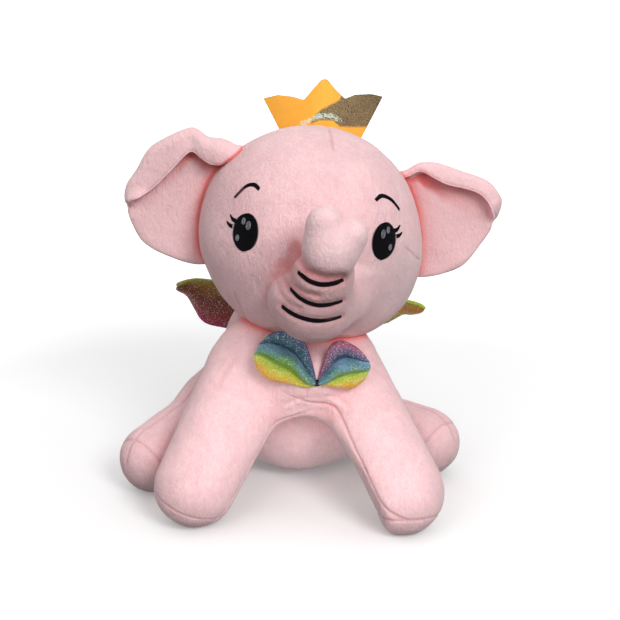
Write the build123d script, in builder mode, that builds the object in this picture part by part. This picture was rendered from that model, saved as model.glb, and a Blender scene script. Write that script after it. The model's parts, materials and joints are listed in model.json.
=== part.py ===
"""A sitting stuffed elephant: sewn velour covers over fibre filling, in millimetres.

The toy sits on the floor facing -Y, and its own right side is at -X.
Every stuffed piece is a thin sewn cover with its filling inside.
"""

import os
from math import asin, cos, radians, sin

from build123d import *

os.makedirs("parts", exist_ok=True)

# ---- driving dimensions ---------------------------------------------------------------------
CLOTH = 1.6  # velour with its backing
EASE = 0.2  # air between a cover and its filling
JOINT_AIR = 0.5  # air round a limb's ball in its pocket
SWING_AIR = 0.35  # air round a limb at the ends of its swing

HEAD_CENTRE = Vector(0, 8, 190)
HEAD_LEAN = 4  # the head leans to the toy's left, in degrees
HEAD_R = 74.5

NECK_PIVOT = Vector(0, 18, 118)
NECK_R = 32

# Level ovals of the torso: height, centre Y, half width, half depth.
TORSO_OVALS = (
    (0, 63, 50, 38),
    (30, 56, 66, 52),
    (60, 48, 66, 52),
    (90, 24, 56, 50),
    (113, 18, 46, 42),
)

MUZZLE_AT = Vector(-1, -70, -32)  # from the head's centre, in the head's own axes
MUZZLE_R = 29
TRUNK_ROOT, TRUNK_TIP = Vector(2, -88, -25), Vector(7, -109, 15)
TRUNK_ROOT_R, TRUNK_TIP_R = 20, 18.5
TRUNK_SWING = (-15, -7.5, 7.5, 15)  # degrees about the head's X axis
TRUNK_END_CUT = 7  # from the tip ball's centre to the seam of the end panel
TRUNK_BACK_CUT = 4  # how far the cover wraps behind the root ball's centre
TRUNK_LINE_HEIGHTS = (-38.5, -30.5, -22.5)  # in the head's own axes
TRUNK_LINE_WIDTH = 2.6
TRUNK_LINE_REACH, TRUNK_LINE_DEPTH = 12, 18

# Limbs: root ball centre, its radius, foot ball centre, its radius, swing axis, swing range.
LIMBS = {
    "front_leg_right": ((-44, -16, 78), 30, (-82, -54, 29), 29, (1, 0, 0), (-10, 0)),
    "front_leg_left": ((42, -16, 79), 30, (57, -76, 30), 30, (1, 0, 0), (-10, 0)),
    "hind_leg_right": ((-58, 52, 46), 33, (-114, 6, 24), 24, (0, 0, 1), (-15, 6)),
    "hind_leg_left": ((58, 54, 44), 32, (92, 16, 26), 26, (0, 0, 1), (-6, 15)),
}
SOLE_NORMALS = {
    "front_leg_right": Vector(-0.2, -0.4, -0.9),
    "front_leg_left": Vector(0.1, -0.4, -0.9),
    "hind_leg_right": Vector(-0.9, -0.4, -0.2),
    "hind_leg_left": Vector(0.6, -0.75, -0.25),
}
SOLE_RISE = 9  # how far a sole reaches up from the end of its foot

EAR_LAYERS = (("back", 1.5), ("wadding", 5.0), ("front", 1.5))
EAR_AIR = 2.0  # between an ear's inner edge and the head
WING_LAYERS = (("back", 0.8), ("wadding", 3.0), ("front", 0.8))

CROWN_BEND_R = 70
CROWN_THICK = 1.4
CROWN_AIR = 1.2

BOW_THICK = 7
BOW_FRONT_Y = -55
BOW_REACH = 36  # from the bow's front into the chest

THREAD = 0.9  # height of raised embroidery

# ---- frames ---------------------------------------------------------------------------------
LEAN = radians(HEAD_LEAN)
HEAD_X = Vector(cos(LEAN), 0, -sin(LEAN))
HEAD_UP = Vector(sin(LEAN), 0, cos(LEAN))
HEAD = Plane(origin=HEAD_CENTRE, x_dir=HEAD_X, z_dir=HEAD_UP)
BLOCK = 400  # larger than the toy, for cutting tools


def on_head(point):
    """A point given in the head's own axes, in the toy's axes."""
    return HEAD.from_local_coords(point)


def save(piece, name):
    piece.part.label = name
    export_step(piece.part, f"parts/{name}.step")


# ---- tool shapes ----------------------------------------------------------------------------
def round_ball(centre, r):
    return Pos(*centre) * Sphere(r, mode=Mode.PRIVATE)


def head_ball(grow):
    return round_ball(HEAD_CENTRE, HEAD_R + grow)


def muzzle_ball(grow):
    return round_ball(on_head(MUZZLE_AT), MUZZLE_R + grow)


def round_cone(root, root_r, tip, tip_r, grow=0.0):
    """A limb: two balls and the cone that touches both, turned about its axis."""
    root, tip = Vector(*root), Vector(*tip)
    along = tip - root
    length = along.length
    side = along.cross(Vector(0.3, 0.2, 1)).normalized()
    slope = asin((root_r - tip_r) / length)
    big, small = root_r + grow, tip_r + grow
    first = (big * sin(slope), big * cos(slope))
    last = (length + small * sin(slope), small * cos(slope))
    back_mid = radians(135) - slope / 2
    front_mid = (radians(90) - slope) / 2
    with BuildPart() as cone:
        with BuildSketch(Plane(origin=root, x_dir=along, z_dir=side)):
            with BuildLine():
                ThreePointArc(
                    (-big, 0), (big * cos(back_mid), big * sin(back_mid)), first
                )
                Line(first, last)
                ThreePointArc(
                    last,
                    (length + small * cos(front_mid), small * sin(front_mid)),
                    (length + small, 0),
                )
                Line((length + small, 0), (-big, 0))
            make_face()
        revolve(axis=Axis(root, along))
    return cone.part


def swing_room(balls, axis, angles):
    """Where a limb is at rest, and the places that it passes through as it turns."""
    hinge = Axis(balls[0], axis)
    turning = round_cone(*balls, SWING_AIR)
    return [round_cone(*balls, JOINT_AIR), *(turning.rotate(hinge, a) for a in angles)]


def half_space(point, normal):
    """A block that fills the side of a plane that its normal points to."""
    with BuildPart() as block:
        with BuildSketch(Plane(origin=point, z_dir=normal)):
            Rectangle(BLOCK, BLOCK)
        extrude(amount=BLOCK)
    return block.part


def carve(name, whole, keep=(), cut=()):
    """A node: a whole solid, kept inside some tools and cut by others."""
    with BuildPart() as piece:
        add(whole)
        for tool in keep:
            add(tool, mode=Mode.INTERSECT)
        for tool in cut:
            add(tool, mode=Mode.SUBTRACT)
    save(piece, name)


def torso_loft(shrink, bottom, top):
    """The pear-shaped torso, drawn in by shrink, between two heights."""
    with BuildPart() as torso:
        for number, (height, centre_y, rx, ry) in enumerate(TORSO_OVALS):
            level = height
            if number == 0:
                level = height + bottom
            if number == len(TORSO_OVALS) - 1:
                level = height - top
            with BuildSketch(Plane.XY.offset(level)):
                with Locations((0, centre_y)):
                    Ellipse(rx - shrink, ry - shrink)
        loft()
    return torso.part


# ---- space that the moving pieces need ------------------------------------------------------
def limb_room(name):
    *balls, axis, swing = LIMBS[name]
    angles = {swing[0], (swing[0] + swing[1]) / 2, swing[1]} - {0}
    return swing_room(balls, axis, sorted(angles))


LIMB_ROOMS = [room for name in LIMBS for room in limb_room(name)]
NECK_ROOM = round_ball(NECK_PIVOT, NECK_R + JOINT_AIR)
TRUNK_BALLS = (on_head(TRUNK_ROOT), TRUNK_ROOT_R, on_head(TRUNK_TIP), TRUNK_TIP_R)
TRUNK_ROOM = swing_room(TRUNK_BALLS, HEAD_X, TRUNK_SWING)


# ---- torso ----------------------------------------------------------------------------------
def make_torso():
    rooms = [NECK_ROOM, *LIMB_ROOMS]
    outer = torso_loft(0, 0, 0)
    inner = torso_loft(CLOTH, CLOTH, CLOTH)
    seam = (0, TORSO_OVALS[2][1], CLOTH)
    above = half_space(seam, (0, 0, 1))
    panels = {
        "torso_chest_cover": [(0, -1, 0)],
        "torso_right_flank_cover": [(0, 1, 0), (-1, 0, 0)],
        "torso_left_flank_cover": [(0, 1, 0), (1, 0, 0)],
    }
    for name, sides in panels.items():
        keep = [above, *(half_space(seam, side) for side in sides)]
        carve(name, outer, keep, [inner, *rooms])
    carve("torso_base_cover", outer, [half_space(seam, (0, 0, -1))], rooms)
    filling = torso_loft(CLOTH + EASE, CLOTH + EASE, CLOTH + EASE)
    carve("torso_filling", filling, cut=rooms)
    carve("neck_filling", round_ball(NECK_PIVOT, NECK_R))


# ---- limbs ----------------------------------------------------------------------------------
def make_limb(name):
    balls = LIMBS[name][:4]
    root, foot, foot_r = balls[0], Vector(*balls[2]), balls[3]
    outer, inner = round_cone(*balls), round_cone(*balls, -CLOTH)
    beyond_root = half_space(root, foot - Vector(*root))
    down = SOLE_NORMALS[name].normalized()
    sole_at = foot + down * (foot_r - SOLE_RISE)
    for piece, facing in (("cover", -down), ("sole", down)):
        keep = [beyond_root, half_space(sole_at, facing)]
        carve(f"{name}_{piece}", outer, keep, [inner])
    carve(f"{name}_filling", round_cone(*balls, -CLOTH - EASE))


# ---- head -----------------------------------------------------------------------------------
def make_head():
    outer, inner = head_ball(0), head_ball(-CLOTH)
    panels = {
        "head_face_cover": [(0, -1, 0)],
        "head_back_right_cover": [(0, 1, 0), -HEAD_X],
        "head_back_left_cover": [(0, 1, 0), HEAD_X],
    }
    for name, sides in panels.items():
        keep = [half_space(HEAD_CENTRE, side) for side in sides]
        carve(name, outer, keep, [inner, NECK_ROOM, *TRUNK_ROOM])
    carve("head_filling", head_ball(-CLOTH - EASE), cut=[NECK_ROOM, *TRUNK_ROOM])

    face = head_ball(EASE)
    cuts = [muzzle_ball(-CLOTH), face, *TRUNK_ROOM]
    carve("muzzle_cover", muzzle_ball(0), cut=cuts)
    carve("muzzle_filling", muzzle_ball(-CLOTH - EASE), cut=[face, *TRUNK_ROOM])


# ---- trunk ----------------------------------------------------------------------------------
def make_trunk():
    root, _, tip, _ = TRUNK_BALLS
    along = (tip - root).normalized()
    forward = -HEAD.y_dir
    seam = tip + along * TRUNK_END_CUT
    outer, inner = round_cone(*TRUNK_BALLS), round_cone(*TRUNK_BALLS, -CLOTH)
    wrap = half_space(root - forward * TRUNK_BACK_CUT, forward)
    for name, facing in (("trunk_cover", -along), ("trunk_tip_cover", along)):
        carve(name, outer, [wrap, half_space(seam, facing)], [inner])
    carve("trunk_filling", round_cone(*TRUNK_BALLS, -CLOTH - EASE))

    high = round_cone(*TRUNK_BALLS, EASE / 2 + THREAD)
    low = round_cone(*TRUNK_BALLS, EASE / 2)
    with BuildPart() as lines:
        for height in TRUNK_LINE_HEIGHTS:
            level = on_head((TRUNK_ROOT.X, TRUNK_ROOT.Y, height))
            with BuildSketch(Plane(origin=level, x_dir=HEAD_X, z_dir=HEAD_UP)):
                with Locations((0, -TRUNK_ROOT_R)):
                    Rectangle(2 * TRUNK_LINE_REACH, TRUNK_LINE_DEPTH)
            extrude(amount=TRUNK_LINE_WIDTH / 2, both=True)
        add(high, mode=Mode.INTERSECT)
        add(low, mode=Mode.SUBTRACT)
    save(lines, "trunk_line_stitching")


# ---- ears -----------------------------------------------------------------------------------
# Outlines: distance out from the ear's plane origin, and height, from the top of the seam.
EAR_OUTLINES = {
    "right": (
        (-14, 236),
        (0, 256),
        (15, 261),
        (38, 257),
        (58, 240),
        (68, 212),
        (63, 191),
        (46, 174),
        (18, 164),
        (0, 178),
    ),
    "left": (
        (2, 216),
        (18, 236),
        (38, 236),
        (64, 226),
        (76, 210),
        (70, 184),
        (50, 161),
        (24, 153),
        (4, 172),
    ),
}
EAR_ORIGIN_X, EAR_ORIGIN_Y = 60, 18
EAR_SWEEP = {"right": 6, "left": -6}  # back is positive, in degrees


def ear_plane(side):
    """Its X axis points outwards, its Y axis up, and its Z axis away from the ear's seat."""
    out = -1 if side == "right" else 1
    sweep = radians(EAR_SWEEP[side])
    outward = Vector(out * cos(sweep), sin(sweep), 0)
    origin = (out * EAR_ORIGIN_X, EAR_ORIGIN_Y, 0)
    return Plane(origin=origin, x_dir=outward, z_dir=outward.cross(Vector(0, 0, 1)))


def make_ear(side):
    plane = ear_plane(side)
    back_first = -1 if plane.z_dir.Y > 0 else 1
    level = -back_first * sum(thick for _, thick in EAR_LAYERS) / 2
    head_room = head_ball(EAR_AIR)
    for layer, thick in EAR_LAYERS:
        with BuildPart() as piece:
            with BuildSketch(plane.offset(level)):
                with BuildLine():
                    Spline(*EAR_OUTLINES[side], periodic=True)
                make_face()
            extrude(amount=back_first * thick)
            add(head_room, mode=Mode.SUBTRACT)
        level += back_first * thick
        save(piece, f"ear_{side}_{layer}")


# ---- wings ----------------------------------------------------------------------------------
WING_OUTLINE = (
    (12, 118),
    (40, 136),
    (78, 141),
    (94, 137),
    (84, 120),
    (72, 106),
    (40, 97),
    (14, 100),
)
WING_Y = 73.5
WING_SWEEP = 5


def make_wing(side):
    out = -1 if side == "right" else 1
    sweep = radians(WING_SWEEP)
    outward = Vector(out * cos(sweep), sin(sweep), 0)
    plane = Plane(origin=(0, WING_Y, 0), x_dir=outward, z_dir=outward.cross(Vector(0, 0, 1)))
    back_first = -1 if plane.z_dir.Y > 0 else 1
    level = -back_first * sum(thick for _, thick in WING_LAYERS) / 2
    for layer, thick in WING_LAYERS:
        with BuildPart() as piece:
            with BuildSketch(plane.offset(level)):
                with BuildLine():
                    Spline(*WING_OUTLINE, periodic=True)
                make_face()
            extrude(amount=back_first * thick)
        level += back_first * thick
        save(piece, f"wing_{side}_{layer}")


# ---- tail -----------------------------------------------------------------------------------
TAIL = ((0, 116, 42), 5.5, (0, 114, 14), 6)


def make_tail():
    outer, inner = round_cone(*TAIL), round_cone(*TAIL, -CLOTH)
    carve("tail_cover", outer, [half_space(TAIL[0], (0, 0, -1))], [inner])
    carve("tail_filling", round_cone(*TAIL, -CLOTH - EASE))


# ---- crown ----------------------------------------------------------------------------------
CROWN_Y = 15  # behind the head's centre
CROWN_OUTLINE = (
    (-22, 60),
    (-36, 88),
    (-9, 85),
    (4, 104),
    (20, 86),
    (46, 91),
    (36, 60),
)


def make_crown():
    """One bent sheet with three points, standing on top of the head."""
    middle = sum(x for x, _ in CROWN_OUTLINE) / len(CROWN_OUTLINE)
    front = Plane(origin=on_head((0, CROWN_Y, 0)), x_dir=HEAD_X, z_dir=-HEAD.y_dir)
    bend_centre = on_head((middle, CROWN_Y + CROWN_BEND_R, 0))
    head_room = head_ball(CROWN_AIR)
    with BuildPart() as crown:
        with BuildSketch(Plane(origin=bend_centre, x_dir=HEAD_X, z_dir=HEAD_UP)):
            Circle(CROWN_BEND_R)
            Circle(CROWN_BEND_R - CROWN_THICK, mode=Mode.SUBTRACT)
        extrude(amount=HEAD_CENTRE.Z)
        with BuildSketch(front):
            with BuildLine():
                Polyline(*CROWN_OUTLINE, close=True)
            make_face()
        extrude(amount=CROWN_BEND_R / 2, both=True, mode=Mode.INTERSECT)
        add(head_room, mode=Mode.SUBTRACT)
    save(crown, "crown")


# ---- bow ------------------------------------------------------------------------------------
BOW_LOBES = {
    "right": ((-5, 93), (-12, 108), (-24, 126), (-38, 122), (-42, 106), (-30, 96)),
    "left": ((5, 93), (11, 106), (20, 119), (33, 114), (38, 102), (26, 90)),
}
BOW_STITCH_R = 3


def make_bow():
    front = Plane(origin=(0, BOW_FRONT_Y, 0), x_dir=(1, 0, 0), z_dir=(0, -1, 0))
    for side, outline in BOW_LOBES.items():
        with BuildPart() as lobe:
            with BuildSketch(front):
                with BuildLine():
                    Spline(*outline, periodic=True)
                make_face()
            extrude(amount=-BOW_THICK)
        save(lobe, f"bow_{side}_lobe")
    chest = torso_loft(0, 0, 0)
    with BuildPart() as stitch:
        with BuildSketch(front):
            with Locations((0, BOW_LOBES["left"][0][1])):
                Circle(BOW_STITCH_R)
        extrude(amount=-BOW_REACH)
        add(chest, mode=Mode.SUBTRACT)
    save(stitch, "bow_stitching")


# ---- embroidery on the face -----------------------------------------------------------------
EYE_TURN, EYE_RISE = 38.5, 6  # degrees out from the middle of the face, and up
EYE_RX, EYE_RZ = 9.5, 12.5
HIGHLIGHTS = ((-1, 7, 1.6), (2.5, 3.5, 2.2), (-4.5, -4.5, 1.4))  # out, up, radius
LASHES = ((9, 6, 35), (10.5, 1.5, 25))  # out, up, turn in degrees
LASH_LENGTH, LASH_WIDTH = 6, 1.4
BROW_TOP = ((-9, 18), (1, 26.5), (9, 18))  # out, up
BROW_UNDER = ((9, 18), (0, 23.7), (-9, 18))


def eye_plane(side):
    """Square to the head's surface at the eye, with X pointing away from the nose."""
    out = -1 if side == "right" else 1
    turn, rise = radians(EYE_TURN), radians(EYE_RISE)
    look = Vector(out * sin(turn) * cos(rise), -cos(turn) * cos(rise), sin(rise))
    outward = Vector(out * cos(turn), sin(turn), 0)
    normal = on_head(look) - HEAD_CENTRE
    return Plane(origin=HEAD_CENTRE, x_dir=on_head(outward) - HEAD_CENTRE, z_dir=normal)


def raise_thread(name, outline, low, high):
    """Satin stitch: an outline drawn on the head, standing out of its surface."""
    skin, top = head_ball(low), head_ball(high)
    with BuildPart() as thread:
        extrude(outline, amount=2 * HEAD_R)
        add(top, mode=Mode.INTERSECT)
        add(skin, mode=Mode.SUBTRACT)
    save(thread, name)


def make_embroidery(side):
    plane = eye_plane(side)
    flip = 1 if plane.y_dir.Z > 0 else -1
    low, high = EASE / 2, EASE / 2 + THREAD

    with BuildSketch(plane) as eye:
        Ellipse(EYE_RX, EYE_RZ)
    raise_thread(f"eye_{side}_patch", eye.sketch, low, high)

    with BuildSketch(plane) as highlights:
        for out, up, r in HIGHLIGHTS:
            with Locations((out, flip * up)):
                Ellipse(r, r * 1.3)
    above = high + EASE / 4
    raise_thread(f"eye_{side}_highlights", highlights.sketch, above, high + THREAD / 2)

    with BuildSketch(plane) as lashes:
        for out, up, turn in LASHES:
            with Locations((out + LASH_LENGTH / 2, flip * up)):
                SlotOverall(LASH_LENGTH, LASH_WIDTH, rotation=flip * turn)
        Ellipse(EYE_RX, EYE_RZ, mode=Mode.SUBTRACT)  # they start where the patch ends
    raise_thread(f"eye_{side}_lashes", lashes.sketch, low, high)

    with BuildSketch(plane) as brow:
        with BuildLine():
            for edge in (BROW_TOP, BROW_UNDER):
                ThreePointArc(*((out, flip * up) for out, up in edge))
        make_face()
    raise_thread(f"brow_{side}", brow.sketch, low, high)


make_torso()
for limb in LIMBS:
    make_limb(limb)
make_head()
make_trunk()
make_tail()
make_crown()
make_bow()
for hand in ("right", "left"):
    make_ear(hand)
    make_wing(hand)
    make_embroidery(hand)
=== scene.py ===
"""The looks of a sitting stuffed elephant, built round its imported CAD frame.

Shapes are signed distance fields in millimetres, in the toy's own frame, turned into quads,
drawn onto the field and cut into the pieces that ride on the CAD bodies. The toy faces -Y and
its own right side is at -X.
"""

import json
from math import cos, pi, radians, sin, sqrt

import bpy
import numpy as np
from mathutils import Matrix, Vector


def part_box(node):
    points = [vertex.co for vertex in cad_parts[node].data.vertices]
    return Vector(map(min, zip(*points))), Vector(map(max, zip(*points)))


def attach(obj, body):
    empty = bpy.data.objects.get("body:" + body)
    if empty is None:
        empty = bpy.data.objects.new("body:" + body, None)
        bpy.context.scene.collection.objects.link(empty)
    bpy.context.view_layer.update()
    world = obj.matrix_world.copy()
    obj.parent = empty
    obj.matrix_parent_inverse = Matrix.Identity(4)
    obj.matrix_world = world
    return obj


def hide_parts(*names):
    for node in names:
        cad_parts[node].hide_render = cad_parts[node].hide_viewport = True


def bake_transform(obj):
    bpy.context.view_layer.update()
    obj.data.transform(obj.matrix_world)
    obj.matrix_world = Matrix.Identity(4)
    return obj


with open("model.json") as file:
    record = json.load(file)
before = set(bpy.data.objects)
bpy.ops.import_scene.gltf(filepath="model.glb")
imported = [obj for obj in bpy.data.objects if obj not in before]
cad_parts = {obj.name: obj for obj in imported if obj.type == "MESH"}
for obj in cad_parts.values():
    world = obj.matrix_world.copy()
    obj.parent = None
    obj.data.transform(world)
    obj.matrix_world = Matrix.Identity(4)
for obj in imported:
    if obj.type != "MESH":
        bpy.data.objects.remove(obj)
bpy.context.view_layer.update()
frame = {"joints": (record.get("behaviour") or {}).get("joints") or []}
JOINTS = {joint["name"]: joint for joint in frame["joints"]}
MM = 1000.0  # millimetres in a metre
RIGHT, LEFT = -1, 1  # signs of X on the toy's own sides
SIDES = {"right": RIGHT, "left": LEFT}


# ---- places from the CAD frame --------------------------------------------------------------
def pivot(name):
    return np.array(JOINTS[name]["pos_m"]) * MM


def corner(node, *signs):
    """A corner of a node's box: sign -1 takes its low side, 1 its high side and 0 its middle."""
    low, high = (np.array(point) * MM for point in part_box(node))
    return (low + high) / 2 + np.array(signs) * (high - low) / 2


HEAD_TOP = corner("head_face_cover", 0, 1, 1)
HEAD_CAD_R = (corner("head_face_cover", 1, 0, 0) - corner("head_face_cover", -1, 0, 0))[0] / 2
HEAD_AT = HEAD_TOP - (0, 0, HEAD_CAD_R)
HEAD_RADII = HEAD_CAD_R * np.array((1.03, 0.975, 0.975))
LEAN_X = np.array(JOINTS["head_nod"]["axis"])
LEAN_Y = np.array((0.0, 1.0, 0.0))
LEAN_Z = np.cross(LEAN_X, LEAN_Y)
HEAD_AXES = np.stack((LEAN_X, LEAN_Y, LEAN_Z), axis=1)


def to_head(points):
    return (points - HEAD_AT) @ HEAD_AXES


def from_head(*point):
    return HEAD_AT + HEAD_AXES @ np.array(point, float)


# ---- fields ---------------------------------------------------------------------------------
def norm(v):
    return np.sqrt((v * v).sum(-1))


def unit(v):
    return v / norm(v)[..., None]


def oval(p, centre, radii):
    q, radii = p - np.array(centre), np.array(radii)
    k0, k1 = norm(q / radii), norm(q / radii**2)
    return k0 * (k0 - 1) / np.maximum(k1, 1e-6)


def limb(p, a, b, ra, rb):
    """Two balls and the cone that touches both."""
    a, b = np.array(a, float), np.array(b, float)
    along = b - a
    l2, fall = along @ along, ra - rb
    a2 = l2 - fall * fall
    pa = p - a
    y = pa @ along
    z = y - l2
    x2 = ((pa * l2 - along * y[:, None]) ** 2).sum(-1)
    y2, z2 = y * y * l2, z * z * l2
    k = np.sign(fall) * fall * fall * x2
    side = (np.sqrt(x2 * a2 / l2) + y * fall) / l2 - ra
    end = np.sqrt(x2 + z2) / l2 - rb
    start = np.sqrt(x2 + y2) / l2 - ra
    return np.where(np.sign(z) * a2 * z2 > k, end, np.where(np.sign(y) * a2 * y2 < k, start, side))


def join(a, b, k):
    """The union of two fields, rounded over k."""
    h = np.maximum(k - np.abs(a - b), 0) / k
    return np.minimum(a, b) - h * h * k / 4


def meet(a, b, k):
    return -join(-a, -b, k)


def groove(s, width):
    """1 on a line where s is zero, falling to 0 about a width away."""
    return np.exp(-((s / width) ** 2))


def ramp(x, low, high):
    """0 below low, 1 above high, smooth between."""
    t = np.clip((x - low) / (high - low), 0, 1)
    return t * t * (3 - 2 * t)


def lattice(seed, cells):
    """A cube of random numbers for soft noise."""
    return np.random.default_rng(seed).uniform(-1, 1, (cells,) * 3).astype(np.float32)


NOISE_CELLS = 32
NOISE = [lattice(seed, NOISE_CELLS) for seed in range(4)]


def noise(p, size, layer=0):
    """Soft noise from about -1 to 1 whose bumps are size millimetres across."""
    q = p / size + 100.3
    base = np.floor(q).astype(int)
    t = q - base
    t = t * t * (3 - 2 * t)
    total = 0
    for corner_bits in range(8):
        step = np.array([corner_bits >> axis & 1 for axis in range(3)])
        at = (base + step) % NOISE_CELLS
        weight = np.prod(np.where(step, t, 1 - t), axis=-1)
        total = total + weight * NOISE[layer][at[:, 0], at[:, 1], at[:, 2]]
    return total


def sheet_noise(x, z, size, layer):
    """Soft noise over a grid of places that are x across the toy and z up."""
    return noise(np.stack((x, z, x * 0), axis=-1).reshape(-1, 3), size, layer).reshape(x.shape)


# ---- meshes from fields ---------------------------------------------------------------------
def in_chunks(field, points, size=400000):
    return np.concatenate([field(points[i : i + size]) for i in range(0, len(points), size)])


def surface_nets(field, low, high, step):
    """Quads over a field's zero surface, with one point in each grid cell that it crosses."""
    low = np.array(low, float)
    counts = np.ceil((np.array(high) - low) / step).astype(int) + 1
    grid = np.stack(np.meshgrid(*map(np.arange, counts), indexing="ij"), axis=-1)
    values = in_chunks(field, (grid.reshape(-1, 3) * step + low)).reshape(counts)
    inside = values < 0
    cells = tuple(counts - 1)
    total, weight = np.zeros(cells + (3,)), np.zeros(cells)
    for axis in range(3):
        others = [a for a in range(3) if a != axis]
        for u in (0, 1):
            for v in (0, 1):
                start = [slice(0, n - 1) for n in counts]
                start[others[0]] = slice(u, counts[others[0]] - 1 + u)
                start[others[1]] = slice(v, counts[others[1]] - 1 + v)
                stop = list(start)
                start[axis], stop[axis] = slice(0, counts[axis] - 1), slice(1, counts[axis])
                a, b = values[tuple(start)], values[tuple(stop)]
                crossed = (a < 0) != (b < 0)
                share = np.where(crossed, a / np.where(crossed, a - b, 1), 0)
                total[..., axis] += share
                total[..., others[0]] += crossed * u
                total[..., others[1]] += crossed * v
                weight += crossed
    mixed = weight > 0
    index = np.full(cells, -1)
    index[mixed] = np.arange(mixed.sum())
    corners = np.stack(np.nonzero(mixed), axis=-1)
    points = (corners + total[mixed] / weight[mixed][:, None]) * step + low
    quads = []
    for axis in range(3):
        b, c = (axis + 1) % 3, (axis + 2) % 3
        head, tail = [slice(None)] * 3, [slice(None)] * 3
        head[axis], tail[axis] = slice(0, -1), slice(1, None)
        change = inside[tuple(head)] != inside[tuple(tail)]
        at = np.stack(np.nonzero(change), axis=-1)
        at = at[(at[:, b] > 0) & (at[:, c] > 0) & (at[:, b] < cells[b]) & (at[:, c] < cells[c])]
        ring = []
        for db, dc in ((1, 1), (0, 1), (0, 0), (1, 0)):
            cell = at.copy()
            cell[:, b] -= db
            cell[:, c] -= dc
            ring.append(index[tuple(cell.T)])
        quad = np.stack(ring, axis=-1)
        flip = ~inside[tuple(at.T)]
        quad[flip] = quad[flip][:, ::-1]
        quads.append(quad)
    return points, np.concatenate(quads)


def slope_of(field, points, reach=0.4):
    parts = []
    for axis in range(3):
        step = np.zeros(3)
        step[axis] = reach
        parts.append(in_chunks(field, points + step) - in_chunks(field, points - step))
    return np.stack(parts, axis=-1) / (2 * reach)


def draw_on(field, points, rounds=2, most=2.0):
    """Moves points onto a field's zero surface."""
    for _ in range(rounds):
        slope = slope_of(field, points)
        far = in_chunks(field, points) / np.maximum((slope * slope).sum(-1), 0.05)
        points = points - slope * np.clip(far, -most, most)[:, None]
    return points


def subdivide(points, quads):
    """Each quad becomes four."""
    edges = np.stack((quads, np.roll(quads, -1, axis=1)), axis=-1).reshape(-1, 2)
    unique, where = np.unique(np.sort(edges, axis=1), axis=0, return_inverse=True)
    middles = len(points) + where.reshape(len(quads), 4)
    centres = len(points) + len(unique) + np.arange(len(quads))
    points = np.concatenate((points, points[unique].mean(1), points[quads].mean(1)))
    made = [
        np.stack((quads[:, i], middles[:, i], centres, middles[:, i - 1]), axis=-1)
        for i in range(4)
    ]
    return points, np.concatenate(made)


def relax(points, quads, rounds=2):
    """Evens out the quads by moving points towards the middle of their neighbours."""
    edges = np.stack((quads, np.roll(quads, -1, axis=1)), axis=-1).reshape(-1, 2)
    both = np.concatenate((edges, edges[:, ::-1]))
    for _ in range(rounds):
        total, count = np.zeros_like(points), np.zeros(len(points))
        np.add.at(total, both[:, 0], points[both[:, 1]])
        np.add.at(count, both[:, 0], 1)
        points = points * 0.4 + total / np.maximum(count, 1)[:, None] * 0.6
    return points


def skin(field, low, high, step):
    """A field's surface as even quads at half the step."""
    points, quads = surface_nets(field, low, high, step)
    points = draw_on(field, relax(points, quads))
    points, quads = subdivide(points, quads)
    return draw_on(field, points), quads


def vertex_normals(points, faces):
    corners = points[faces]
    across = np.cross(corners[:, 2] - corners[:, 0], corners[:, -1] - corners[:, 1])
    total = np.zeros_like(points)
    for i in range(faces.shape[1]):
        np.add.at(total, faces[:, i], across)
    return total / np.maximum(norm(total), 1e-9)[:, None]


def make_object(name, points, faces, material, normals=None, **marks):
    """A mesh object in metres from points in millimetres; marks are numbers for its material.

    A four-sided face that names one point twice in a row is made as a triangle."""
    used, where = np.unique(faces, return_inverse=True)
    where = where.reshape(faces.shape)
    repeated = where == np.roll(where, 1, axis=1)
    sizes = (~repeated).sum(1)
    where = where[~repeated]
    mesh = bpy.data.meshes.new(name)
    mesh.vertices.add(len(used))
    mesh.vertices.foreach_set("co", (points[used] / MM).astype(np.float32).ravel())
    mesh.loops.add(len(where))
    mesh.loops.foreach_set("vertex_index", where.astype(np.int32))
    mesh.polygons.add(len(sizes))
    starts = np.concatenate(((0,), np.cumsum(sizes)[:-1]))
    mesh.polygons.foreach_set("loop_start", starts.astype(np.int32))
    mesh.polygons.foreach_set("use_smooth", np.ones(len(sizes), bool))
    mesh.update()
    mesh.validate()
    if normals is not None:
        mesh.normals_split_custom_set_from_vertices(normals[used])
    for mark, values in marks.items():
        attribute = mesh.attributes.new(mark, "FLOAT", "POINT")
        attribute.data.foreach_set("value", np.asarray(values)[used].astype(np.float32))
    mesh.materials.append(material)
    made = bpy.data.objects.new(name, mesh)
    bpy.context.scene.collection.objects.link(made)
    return made


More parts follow.
